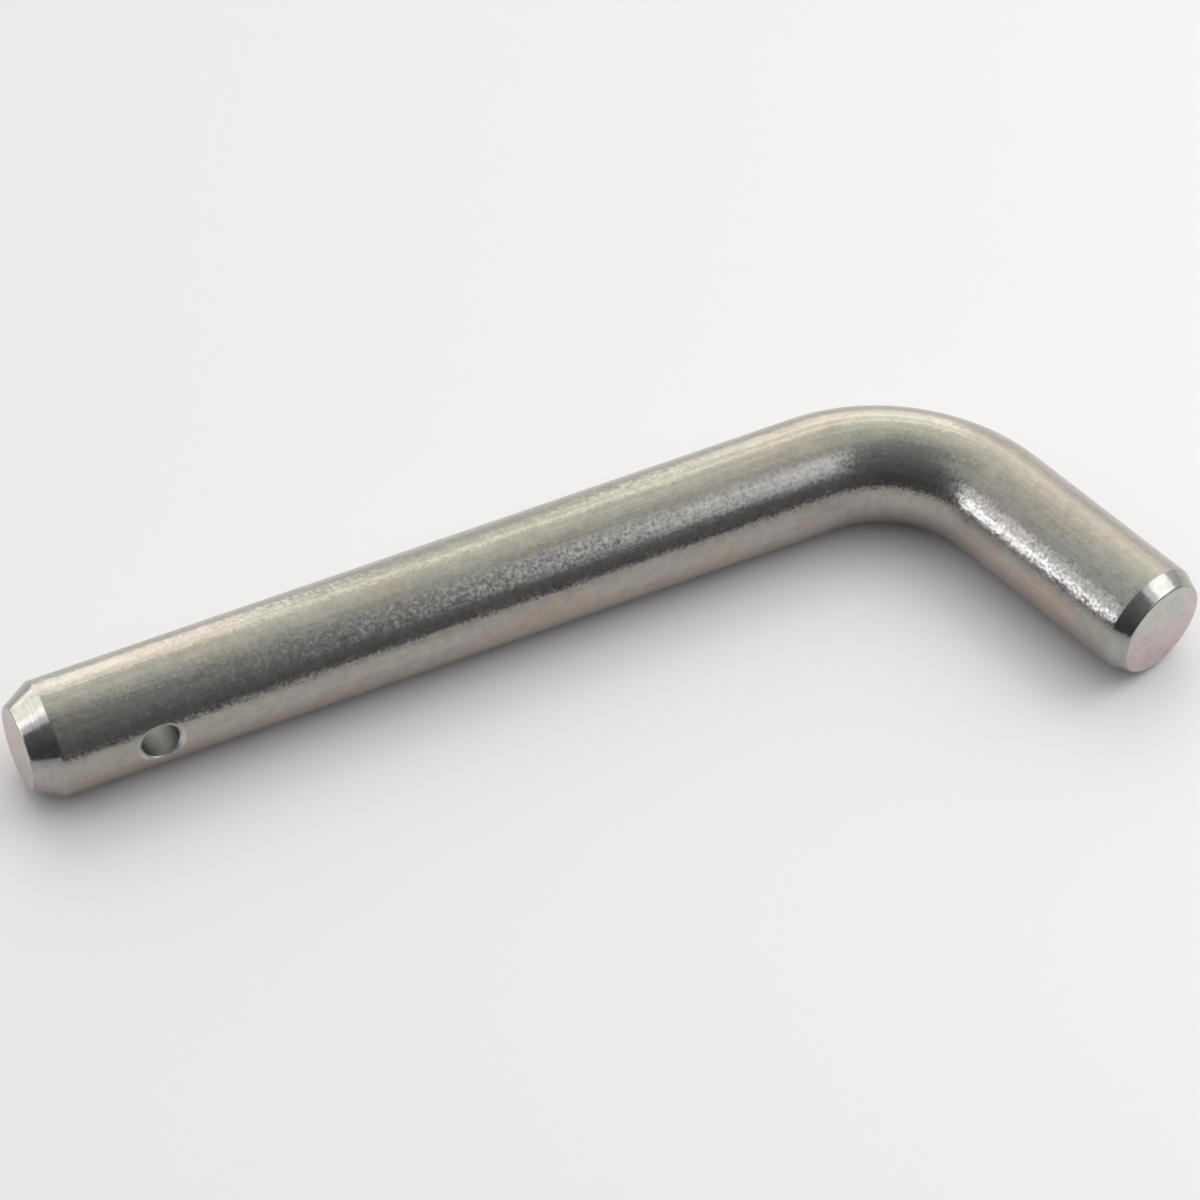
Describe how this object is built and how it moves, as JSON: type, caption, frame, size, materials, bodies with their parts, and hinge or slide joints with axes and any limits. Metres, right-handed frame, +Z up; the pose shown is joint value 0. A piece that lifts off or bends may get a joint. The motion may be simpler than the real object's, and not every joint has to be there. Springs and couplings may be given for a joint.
{
  "type": "hitch pin",
  "caption": "Bent round steel hitch pin with a tapered free end, a countersunk cross hole for a retaining clip and an angled handle, which locks a drawbar in its receiver.",
  "frame": {"origin": "middle of the pin's footprint, on the surface that it lies on", "axes": "+X along the shank from its free end to the bend, -Y the side that the handle bends to, +Z up off the surface"},
  "size_m": [0.1512, 0.0534, 0.0159],
  "materials": {
    "zinc_plated_steel": "bright zinc plate over drawn bar, with a pale yellow passivation tint"
  },
  "bodies": {
    "root": {"hitch_pin": "zinc_plated_steel"}
  },
  "joints": []
}
